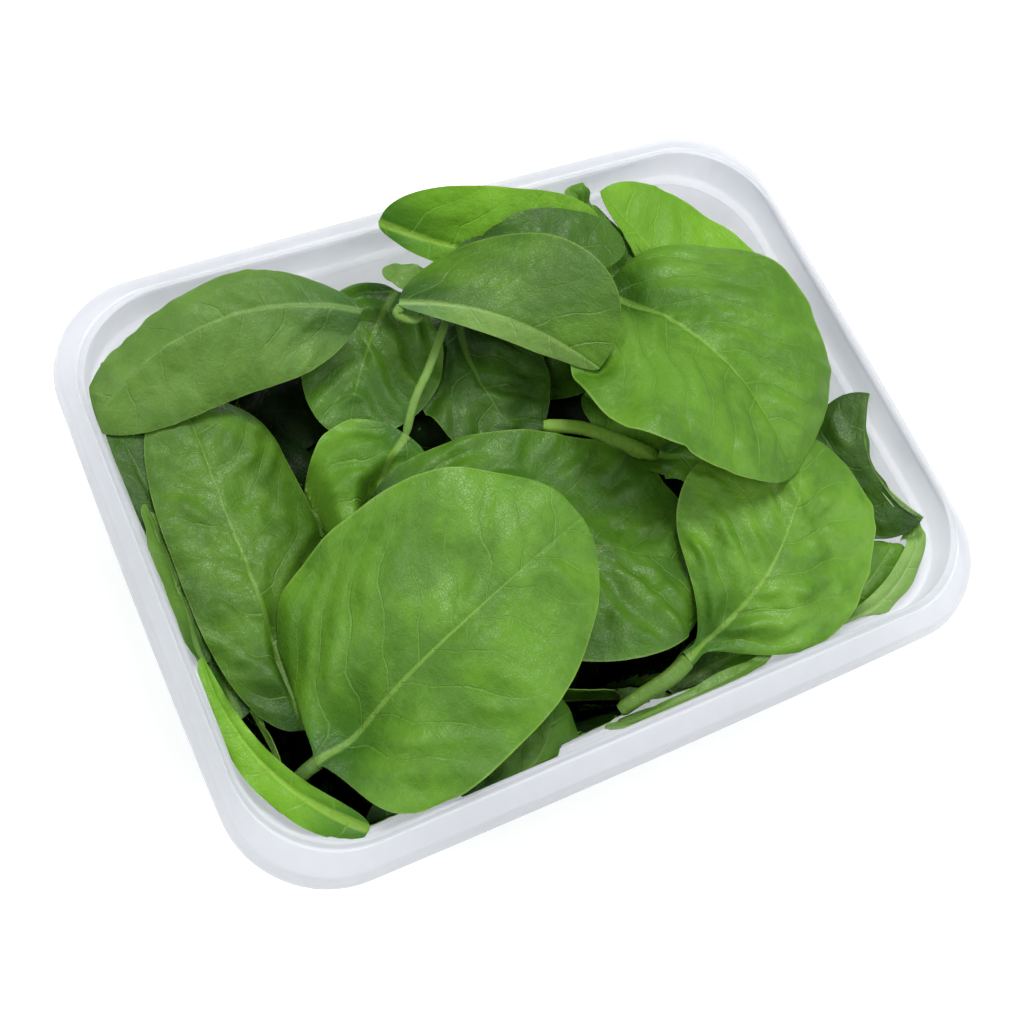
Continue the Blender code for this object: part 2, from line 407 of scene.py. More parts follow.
sample = width_share(np.linspace(0, 1, 5), 0.47, (2.0, 2.0))
print("width along a plain leaf:", np.round(sample, 2))

# %% Bend a leaf in space
def bent_leaf(plan, s, t):
    """Surface points of the leaf, the direction its face looks in, and the distance from the midrib."""
    base, tip = np.array(plan["base"], float), np.array(plan["tip"], float)
    axis = tip - base
    ahead = unit(axis)
    up = unit(np.array([0, 0, 1.0]) - ahead * ahead[2])
    side = np.cross(up, ahead)
    roll = math.radians(plan["roll"])
    up, side = up * math.cos(roll) - side * math.sin(roll), side * math.cos(roll) + up * math.sin(roll)
    bow = (4 * s * (1 - s))[..., None]
    midrib = base + axis * s[..., None] + (up * plan["lift"] + side * plan["sway"]) * bow
    slope = (4 * (1 - 2 * s))[..., None]
    along = unit(axis + (up * plan["lift"] + side * plan["sway"]) * slope)
    across = unit(side - along * (along @ side)[..., None])
    face = np.cross(along, across)
    twist = (math.radians(plan["twist"]) * (s - 0.5))[..., None]
    across, face = across * np.cos(twist) + face * np.sin(twist), face * np.cos(twist) - across * np.sin(twist)
    left = t >= 0
    rise = np.radians(np.where(left, *plan["rise"]))
    curl = np.radians(np.where(left, *plan["curl"]))
    curl = np.where(np.abs(curl) < 1e-3, 1e-3, curl)
    bend = rise + curl * np.abs(t)
    out = (np.sin(bend) - np.sin(rise)) / curl
    high = (np.cos(rise) - np.cos(bend)) / curl
    width = np.where(left, *plan["half"]) * width_share(s, plan["widest"], plan["ends"])
    width = width * (1 - np.exp(-(s / plan["neck"]) ** 1.6))
    if plan["stalk"]:
        width = np.hypot(width, 0.95 * plan["stalk"][1][0] * np.clip(4 - 8 * s, 0, 1))
    points = midrib + across * (np.where(left, 1, -1) * width * out)[..., None]
    points = points + face * (width * high)[..., None]
    looks = unit(face * np.cos(bend)[..., None] - across * (np.where(left, 1, -1) * np.sin(bend))[..., None])
    return points, looks, width * np.abs(t)


print("a leaf bends along its midrib, across it and round it")

# %% [markdown]
# ## Veins, puckers and ruffles
#
# Spinach is quilted: the blade swells between its side veins, which leave the
# midrib at about fifty degrees and curve towards the tip. A bump texture alone
# would leave the outline and the highlights flat, so the quilting is real
# relief here. The veins follow lines of one number, the vein count, which
# grows by one from each side vein to the next. The same number is stored in a
# UV map, so the veins that the shader colours lie exactly in the folds. Near
# its base a large blade also sinks into a throat, the valley that the midrib
# runs in.

# %% Count the side veins
VEIN_SPACING = 9.5         # millimetres between side veins along the midrib
VEIN_LEAN = 0.72           # how fast a side vein runs towards the tip
VEIN_SWEEP = 0.012         # how much more it does so further out


def vein_count(run, distance, left, phase):
    """A number that is whole on every side vein. run is the distance along the midrib."""
    lean = VEIN_LEAN * distance + VEIN_SWEEP * distance ** 2
    wander = 0.16 * np.sin(distance / 6 + 9 * phase) + 0.10 * np.sin(distance / 2.7 + run / 8 + 5 * phase)
    return (run - lean) / VEIN_SPACING + phase + np.where(left, 0.43, 0.0) + wander * np.clip(distance / 5, 0, 1)


# %% Work the relief
def relief(plan, s, t, distance, dice):
    """Height of the surface over the plain bent leaf, in millimetres."""
    length = np.linalg.norm(np.array(plan["tip"], float) - np.array(plan["base"], float))
    run = s * length
    count = vein_count(run, distance, t >= 0, plan["phase"])
    ends = np.clip(np.minimum(s, 1 - s) * 6, 0, 1)
    near_base = np.exp(-(s / 0.26) ** 2)
    spread = np.clip(distance / 4, 0, 1) * (1 - np.abs(t) ** 4) * ends
    quilt = np.sin(np.pi * count) ** 2
    height = plan["pucker"] * spread * (quilt - 0.6) * (1 + 1.4 * near_base)
    deepens = 1 - np.exp(-(s / 0.07) ** 2)
    height = height - plan["throat"] * near_base * deepens * np.exp(-(distance / 6) ** 2)
    signed = np.where(t >= 0, distance, -distance)
    reach = max(plan["half"])
    for _ in range(plan["blisters"]):
        where = dice.uniform(0.08, 0.92) * length
        aside = dice.uniform(-0.9, 0.9) * reach
        long, short = dice.uniform(2.0, 5.0), dice.uniform(1.0, 2.2)
        turn = math.radians(52) * (1 if aside > 0 else -1) + dice.uniform(-0.3, 0.3)
        dx, dy = run - where, signed - aside
        major = dx * math.cos(turn) + dy * math.sin(turn)
        minor = -dx * math.sin(turn) + dy * math.cos(turn)
        bump = np.exp(-(major / long) ** 2 - (minor / short) ** 2)
        height = height + plan["blister"] * dice.uniform(0.4, 1.0) * bump * ends
    for _ in range(4):
        length_of_wave = dice.uniform(18, 45)
        turn = dice.uniform(0, math.pi)
        start = dice.uniform(0, 2 * math.pi)
        phase = (run * math.cos(turn) + signed * math.sin(turn)) * 2 * math.pi / length_of_wave
        height = height + plan["wave"] * 0.5 * np.sin(phase + start) * np.clip(distance / 6, 0, 1)
    for _ in range(2):
        turns, start = dice.uniform(2, 5), dice.uniform(0, 6)
        edge = np.abs(t) ** 5 * np.sin(2 * np.pi * turns * s + start + np.where(t > 0, 2.0, 0.0))
        height = height + plan["ruffle"] * edge * ends
    rib = plan["rib"] * (1 - s) ** 0.8 + 0.25
    height = height - 0.35 * np.exp(-(distance / rib) ** 2) * (1 - 0.5 * s)
    return height + 0.35 * (1 - np.exp(-(distance / 5) ** 2))


print("side veins are", VEIN_SPACING, "mm apart")

# %% [markdown]
# ## From description to mesh
#
# A leaf is closed: a top surface, an underside a third of a millimetre below
# it that carries the midrib as a ridge, and a thin edge between them. The grid
# has more columns near the midrib and more rows near the ends, where the shape
# turns fastest.

# %% Build the leaf's grid
def leaf_grid(plan, dice):
    """Top and underside grids of a leaf, with what its UV maps need."""
    rows, columns = plan["rows"], plan["columns"]
    s = (1 - np.cos(np.pi * np.linspace(0.012, 0.992, rows))) / 2
    spread = np.linspace(-1, 1, columns + 1)
    t = np.sign(spread) * np.abs(spread) ** 1.3
    s, t = np.meshgrid(s, t, indexing="ij")
    top, looks, distance = bent_leaf(plan, s, t)
    height = relief(plan, s, t, distance, dice)
    top = top + looks * height[..., None]
    rib = plan["rib"] * (1 - s) ** 0.8 + 0.2
    depth = 0.16 + 0.22 * (1 - np.abs(t) ** 8)
    depth = depth + (0.9 * plan["rib"] * (1 - s) + 0.15) * np.exp(-(distance / rib) ** 2)
    return top, looks, depth, s, t, distance


# %% Turn the grids into faces and UV maps
def leaf_faces(plan, shape, s, t, distance):
    """Quads of a closed leaf, their kinds (0 top, 1 underside) and three UV maps."""
    rows, columns = shape
    number = np.arange(rows * columns).reshape(rows, columns)
    under = number + rows * columns
    def quads_of(n):
        return np.stack([n[:-1, :-1], n[1:, :-1], n[1:, 1:], n[:-1, 1:]], -1).reshape(-1, 4)
    top, bottom = quads_of(number), quads_of(under)[:, ::-1]
    edge = np.concatenate([number[:, 0], number[-1, 1:], number[-2::-1, -1], number[0, -2:0:-1]])
    beside = np.roll(edge, -1)
    rim = np.stack([beside, edge, edge + rows * columns, beside + rows * columns], -1)
    quads = np.concatenate([top, bottom, rim])
    kinds = np.concatenate([np.zeros(len(top)), np.ones(len(bottom) + len(rim))])
    if plan["pale_half"]:
        kinds[:len(top)] = t.ravel()[top].mean(1) < 0
    length = np.linalg.norm(np.array(plan["tip"], float) - np.array(plan["base"], float))
    corner = quads % (rows * columns)
    cs, ct, cd = s.ravel()[corner], t.ravel()[corner], distance.ravel()[corner]
    left = np.repeat(ct.mean(1)[:, None] >= 0, 4, 1)
    count = vein_count(cs * length, cd, left, plan["phase"])
    maps = {
        "leaf_plan": np.stack([np.where(left, cd, -cd) / 10 + plan["shift"], cs * length / 10], -1),
        "leaf_share": np.stack([ct, cs], -1),
        "leaf_veins": np.stack([count, cd], -1),
    }
    return quads, kinds, maps


print("a leaf is a closed mesh with a top, an underside and an edge")

# %% [markdown]
# ## Stalks
#
# Each leaf was cut with a bit of its stalk: a pale, juicy rod, slightly
# flattened and grooved on top. A bevelled curve would do, but as a mesh it can
# join its leaf and take a finish of its own. It is a ring of points carried
# along a smooth line through a few places.

# %% Carry a ring along a smooth line
def smooth_line(places, steps):
    """Points on a smooth curve through the places, in millimetres."""
    p = np.array(places, float)
    p = np.concatenate([[2 * p[0] - p[1]], p, [2 * p[-1] - p[-2]]])
    out = []
    for k in range(1, len(p) - 2):
        for u in np.linspace(0, 1, steps, endpoint=False):
            a, b, c, d = p[k - 1], p[k], p[k + 1], p[k + 2]
            out.append(0.5 * (2 * b + (c - a) * u + (2 * a - 5 * b + 4 * c - d) * u ** 2
                              + (3 * b - a - 3 * c + d) * u ** 3))
    return np.array(out + [p[-2]])


def stalk_grid(places, thick, steps=14, around=18):
    """Rings of points along a stalk. thick is its radius at the first and last place."""
    line = smooth_line(places, steps)
    along = unit(np.gradient(line, axis=0))
    side = unit(np.cross(along, np.array([0, 0, 1.0])))
    up = np.cross(side, along)
    share = np.linspace(0, 1, len(line))
    radius = thick[0] + (thick[1] - thick[0]) * share
    radius = radius * (1 - 0.25 * np.clip(share * 20 - 19, 0, 1)) * np.clip(0.5 + share * 6, 0, 1)
    turn = np.linspace(0, 2 * np.pi, around, endpoint=False)
    groove = 1 - 0.22 * np.exp(-((turn - np.pi / 2) / 0.5) ** 2)
    rings = line[:, None] + radius[:, None, None] * (
        side[:, None] * (np.cos(turn) * 1.1)[None, :, None]
        + up[:, None] * (np.sin(turn) * 0.9 * groove)[None, :, None]
    )
    return rings, share


def stalk_faces(shape, share, shift):
    """Quads and UV maps of a stalk tube. Its rings shrink towards both ends, which are left open."""
    rings, around = shape
    number = np.arange(rings * around).reshape(rings, around)
    following = np.roll(number, -1, 1)
    quads = np.stack([number[:-1], following[:-1], following[1:], number[1:]], -1).reshape(-1, 4)
    row, column = quads // around, quads % around
    flat = np.stack([column / around + shift, share[row] * 3], -1)
    zero = np.zeros(quads.shape + (2,))
    return quads, {"leaf_plan": flat, "leaf_share": zero, "leaf_veins": zero + 0.5}


print("stalks are swept rings")

# %% [markdown]
# ## Laying leaves on each other
#
# Real leaves rest on each other and never pass through. A physics simulation
# of dozens of soft sheets is slow and would never fall into a chosen
# arrangement. So the heap is laid from the top down instead. A map of the heap
# from above, with small square cells, remembers the lowest point laid so far
# in each cell. The next leaf has to stay under it: where it would stick out,
# it is pressed down, and the press fades out smoothly round the place.

# %% Keep a map of the undersides
CELL = 0.8
MAP_SHAPE = (260, 200)
GAP = 0.45
ceiling = np.full(MAP_SHAPE, 500.0)


def cells_of(points):
    """Row and column of the map for each point."""
    column = np.clip((points[..., 0] / CELL + MAP_SHAPE[0] / 2).astype(int), 1, MAP_SHAPE[0] - 2)
    row = np.clip((points[..., 1] / CELL + MAP_SHAPE[1] / 2).astype(int), 1, MAP_SHAPE[1] - 2)
    return column, row


def cover(grid):
    """Enter a grid's points, and points between them, into the map."""
    for a in np.linspace(0, 1, 4)[:-1]:
        for b in np.linspace(0, 1, 4)[:-1]:
            near = grid[:-1, :-1] * (1 - b) + grid[:-1, 1:] * b
            far = grid[1:, :-1] * (1 - b) + grid[1:, 1:] * b
            points = near * (1 - a) + far * a
            np.minimum.at(ceiling, cells_of(points), points[..., 2])


def pressed(grid, softness):
    """The grid pressed down under everything that the map holds."""
    column, row = cells_of(grid)
    limit = np.min([
        ceiling[column + dx, row + dy] for dx in (-1, 0, 1) for dy in (-1, 0, 1)
    ], axis=0)
    press = np.maximum(grid[..., 2] + GAP - limit, 0)
    firm = press.copy()
    for _ in range(softness):
        padded = np.pad(press, 1, mode="edge")
        around = padded[:-2, 1:-1] + padded[2:, 1:-1] + padded[1:-1, :-2] + padded[1:-1, 2:]
        press = np.maximum(firm, (around + 2 * press) / 6)
    moved = grid.copy()
    moved[..., 2] -= press
    return moved


print("heap map:", MAP_SHAPE, "cells of", CELL, "mm")

# %% Lay one leaf
def lay(plan, index):
    """Shape a leaf, press it under what is already laid, and enter it into the map."""
    dice = np.random.default_rng(4100 + index)
    plan["phase"], plan["shift"] = dice.uniform(0, 1), 7.0 * index
    top, looks, depth, s, t, distance = leaf_grid(plan, dice)
    top = inside_wall(pressed(inside_wall(top), plan["rows"] // 4))
    under = inside_wall(top - looks * depth[..., None], 0.1)
    quads, kinds, maps = leaf_faces(plan, s.shape, s, t, distance)
    points = np.concatenate([top.reshape(-1, 3), under.reshape(-1, 3)])
    grids = [under]
    if plan["stalk"]:
        places, thick = plan["stalk"]
        start = top[plan["rows"] // 12, top.shape[1] // 2] - (0, 0, 0.9 * thick[0])
        rings, share = stalk_grid([tuple(start)] + list(places), thick)
        rings = inside_wall(pressed(rings, 6))
        more, more_maps = stalk_faces(rings.shape[:2], share, plan["shift"])
        quads = np.concatenate([quads, more + len(points)])
        kinds = np.concatenate([kinds, np.full(len(more), 2)])
        maps = {key: np.concatenate([maps[key], more_maps[key]]) for key in maps}
        points = np.concatenate([points, rings.reshape(-1, 3)])
        grids.append(rings)
    if plan["presses"]:
        for grid in grids:
            cover(grid)
    return points, quads, kinds, maps


print("leaves are laid from the top down")

# %% [markdown]
# ## Leaf finishes
#
# A leaf's colour varies at three scales: broad patches, the pale midrib and
# side veins, and a fine net of veinlets. It also carries painted shade: in the
# folds beside the side veins, and in the throat near the base of the midrib.
# All leaves share that pattern, so it is one node group, and each finish sets
# its own colours and strengths. The group gives out only colour, roughness and
# height. The shaders stay in each material: a soft, slightly waxy surface mixed
# with a translucent one, because a thin leaf glows where light falls through it.

# %% Build the leaf pattern group
def leaf_pattern_group():
    """A group that turns the three UV maps into a leaf's colour, roughness and relief."""
    group = bpy.data.node_groups.new("leaf_pattern", "ShaderNodeTree")
    def socket(name, kind, way, value=None):
        made = group.interface.new_socket(name=name, in_out=way, socket_type=kind)
        if value is not None:
            made.default_value = value
    socket("Blade", "NodeSocketColor", "INPUT", (0.10, 0.27, 0.03, 1))
    socket("Patch", "NodeSocketColor", "INPUT", (0.06, 0.18, 0.02, 1))
    socket("Vein", "NodeSocketColor", "INPUT", (0.30, 0.50, 0.12, 1))
    socket("Vein Strength", "NodeSocketFloat", "INPUT", 0.6)
    socket("Rib Width", "NodeSocketFloat", "INPUT", 1.0)
    socket("Colour", "NodeSocketColor", "OUTPUT")
    socket("Roughness", "NodeSocketFloat", "OUTPUT")
    socket("Height", "NodeSocketFloat", "OUTPUT")
    given = add_node(group, "NodeGroupInput")
    result = add_node(group, "NodeGroupOutput")
    link = group.links.new
    def times(first, second):
        return calculate(group, "MULTIPLY", first, second)
    def plus(first, second):
        return calculate(group, "ADD", first, second)
    def larger(first, second):
        return calculate(group, "MAXIMUM", first, second)
    plan = add_node(group, "ShaderNodeUVMap", uv_map="leaf_plan").outputs["UV"]
    share = add_node(group, "ShaderNodeSeparateXYZ")
    link(add_node(group, "ShaderNodeUVMap", uv_map="leaf_share").outputs["UV"], share.inputs[0])
    veins = add_node(group, "ShaderNodeSeparateXYZ")
    link(add_node(group, "ShaderNodeUVMap", uv_map="leaf_veins").outputs["UV"], veins.inputs[0])
    across = calculate(group, "ABSOLUTE", share.outputs["X"])
    along = share.outputs["Y"]

    waver = add_node(group, "ShaderNodeTexNoise", noise_dimensions="2D", Scale=3.2, Detail=2.0)
    link(plan, waver.inputs["Vector"])
    count = plus(veins.outputs["X"], times(waver.outputs["Fac"], 0.12))
    part = calculate(group, "FRACT", count)
    from_vein = calculate(group, "SUBTRACT", 0.5, calculate(group, "ABSOLUTE", calculate(group, "SUBTRACT", part, 0.5)))
    side_vein = remap(group, from_vein, 0.0, 0.045, 1.0, 0.0)
    side_fold = remap(group, from_vein, 0.0, 0.20, 1.0, 0.0)
    fading = remap(group, across, 0.35, 0.98, 1.0, 0.12)
    side_vein = times(side_vein, fading)
    side_fold = times(side_fold, fading)

    taper = calculate(group, "POWER", calculate(group, "SUBTRACT", 1.0, along), 2.2)
    rib_edge = calculate(group, "MULTIPLY_ADD", taper, given.outputs["Rib Width"], 0.12)
    rib_share = calculate(group, "DIVIDE", veins.outputs["Y"], rib_edge)
    rib = remap(group, rib_share, 0.45, 1.15, 1.0, 0.0)
    rib_fade = remap(group, along, 0.55, 1.0, 1.0, 0.35)
    rib = times(times(rib, rib_fade), 0.6)

    net = add_node(group, "ShaderNodeTexVoronoi", voronoi_dimensions="2D", feature="DISTANCE_TO_EDGE", Scale=4.6)
    fine = add_node(group, "ShaderNodeTexVoronoi", voronoi_dimensions="2D", feature="DISTANCE_TO_EDGE", Scale=13.0)
    patches = add_node(group, "ShaderNodeTexNoise", noise_dimensions="2D", Scale=0.55, Detail=5.0, Roughness=0.62)
    crinkle = add_node(group, "ShaderNodeTexNoise", noise_dimensions="2D", Scale=3.4, Detail=3.0, Roughness=0.5)
    specks = add_node(group, "ShaderNodeTexVoronoi", voronoi_dimensions="2D", feature="F1", Scale=3.1)
    for node in (net, fine, patches, specks, crinkle):
        link(plan, node.inputs["Vector"])
    netting = remap(group, net.outputs["Distance"], 0.0, 0.09, 1.0, 0.0)
    fine_net = remap(group, fine.outputs["Distance"], 0.0, 0.12, 1.0, 0.0)
    patch = remap(group, patches.outputs["Fac"], 0.36, 0.66, 0.0, 1.0)
    speck = remap(group, specks.outputs["Distance"], 0.015, 0.035, 0.35, 0.0)

    colour = blend_colours(group, patch, given.outputs["Blade"], given.outputs["Patch"])
    # Painted shade: the colour is multiplied darker in the throat, near the base and beside the midrib, where the
    # valley lies in shade.
    near_base = remap(group, along, 0.0, 0.38, 1.0, 0.0)
    beside_rib = remap(group, veins.outputs["Y"], 1.5, 13.0, 1.0, 0.0)
    throat = times(times(near_base, beside_rib), 1.0)
    # Painted shade: towards each side vein the colour darkens to the patch colour, as shade in the fold.
    shaded = times(side_fold, 0.38)
    colour = blend_colours(group, shaded, colour, given.outputs["Patch"])
    colour = blend_colours(group, throat, colour, (0.30, 0.46, 0.42), "MULTIPLY")
    strength = given.outputs["Vein Strength"]
    light = larger(times(side_vein, 0.58), times(netting, 0.11))
    light = larger(light, times(fine_net, 0.04))
    light = times(light, strength)
    light = larger(light, rib)
    margin = remap(group, across, 0.975, 1.0, 0.0, 0.6)
    light = larger(light, margin)
    light = larger(light, speck)
    link(blend_colours(group, light, colour, given.outputs["Vein"]), result.inputs["Colour"])
    gloss = remap(group, patches.outputs["Fac"], 0.3, 0.7, 0.34, 0.47)
    link(plus(gloss, times(fine_net, 0.05)), result.inputs["Roughness"])
    lowered = plus(times(side_vein, 0.35), times(netting, 0.08))
    lowered = plus(lowered, times(fine_net, 0.06))
    raised = calculate(group, "MULTIPLY_ADD", crinkle.outputs["Fac"], 1.1, 0.45)
    link(calculate(group, "SUBTRACT", raised, lowered), result.inputs["Height"])
    return group


leaf_pattern = leaf_pattern_group()
print("leaf pattern nodes:", len(leaf_pattern.nodes))

# %% Make the leaf finishes
def leaf_finish(name, blade, patch, vein, veins=0.6, rib_width=1.1, glow=0.22, sheen=0.5):
    """A leaf material: waxy surface over the shared pattern, with some light coming through."""
    material, tree, output = new_material(name)
    link = tree.links.new
    pattern = add_node(tree, "ShaderNodeGroup", node_tree=leaf_pattern)
    pattern.inputs["Blade"].default_value = (*blade, 1)
    pattern.inputs["Patch"].default_value = (*patch, 1)
    pattern.inputs["Vein"].default_value = (*vein, 1)
    pattern.inputs["Vein Strength"].default_value = veins
    pattern.inputs["Rib Width"].default_value = rib_width
    bump = add_node(tree, "ShaderNodeBump", Strength=0.9, Distance=0.4 * MM)
    link(pattern.outputs["Height"], bump.inputs["Height"])
    surface = add_node(tree, "ShaderNodeBsdfPrincipled", IOR=1.42)
    surface.inputs["Specular IOR Level"].default_value = sheen
    link(pattern.outputs["Colour"], surface.inputs["Base Color"])
    link(pattern.outputs["Roughness"], surface.inputs["Roughness"])
    link(bump.outputs["Normal"], surface.inputs["Normal"])
    through = add_node(tree, "ShaderNodeBsdfTranslucent", Color=(blade[0] * 1.3, blade[1] * 1.3, blade[2], 1))
    whole = add_node(tree, "ShaderNodeMixShader", Fac=glow)
    link(surface.outputs[0], whole.inputs[1])
    link(through.outputs[0], whole.inputs[2])
    link(whole.outputs[0], output.inputs["Surface"])
    return material


PALE = ((0.27, 0.47, 0.11), (0.21, 0.39, 0.08), (0.40, 0.60, 0.20))
UNDERSIDE = leaf_finish(
    "leaf_underside", *PALE, veins=0.8)
STALK = leaf_finish(
    "leaf_stalk", (0.19, 0.40, 0.045), (0.12, 0.29, 0.03), (0.30, 0.52, 0.10), veins=0.3)
FINISHES = {
    "fresh": leaf_finish("leaf_fresh", (0.143, 0.340, 0.022), (0.086, 0.230, 0.012), (0.27, 0.49, 0.07)),
    "light": leaf_finish("leaf_light", (0.166, 0.380, 0.028), (0.098, 0.255, 0.014), (0.30, 0.52, 0.08)),
    "bright": leaf_finish("leaf_bright", (0.200, 0.460, 0.020), (0.150, 0.370, 0.014), (0.34, 0.58, 0.07)),
    "mild": leaf_finish("leaf_mild", (0.110, 0.256, 0.018), (0.062, 0.165, 0.010), (0.22, 0.41, 0.06)),
    "middle": leaf_finish("leaf_middle", (0.092, 0.235, 0.014), (0.052, 0.155, 0.008), (0.19, 0.36, 0.05)),
    # deep is a darker green: painted shade for leaves that lie low, by the walls or under others
    "deep": leaf_finish("leaf_shaded_deep", (0.062, 0.170, 0.010), (0.036, 0.110, 0.006), (0.15, 0.30, 0.04)),
    "dull": leaf_finish(
        "leaf_dull", (0.148, 0.300, 0.044), (0.108, 0.235, 0.030), (0.24, 0.41, 0.10), veins=0.45),
    # shade is a near-black finish: painted shade for the leaves seen deep in the gaps
    "shade": leaf_finish(
        "leaf_painted_shade", (0.006, 0.020, 0.002), (0.004, 0.012, 0.001), (0.015, 0.04, 0.005), sheen=0.1),
}
FINISHES["pale"] = UNDERSIDE
FINISHES["stalk"] = STALK
print("leaf finishes:", sorted(FINISHES))

# %% [markdown]
# ## The leaves on top
#
# These are the leaves that make the heap look the way it does, each with its
# own place. The list runs from the uppermost leaf down, because that is the
# order they are laid in. A leaf that stands against the wall is steeply
# rolled. The topmost one is folded along its midrib, so its right half is
# narrow, hangs steeply and has the pale finish of an underside. One leaf leans
# freely on its neighbour and doesn't press it down.

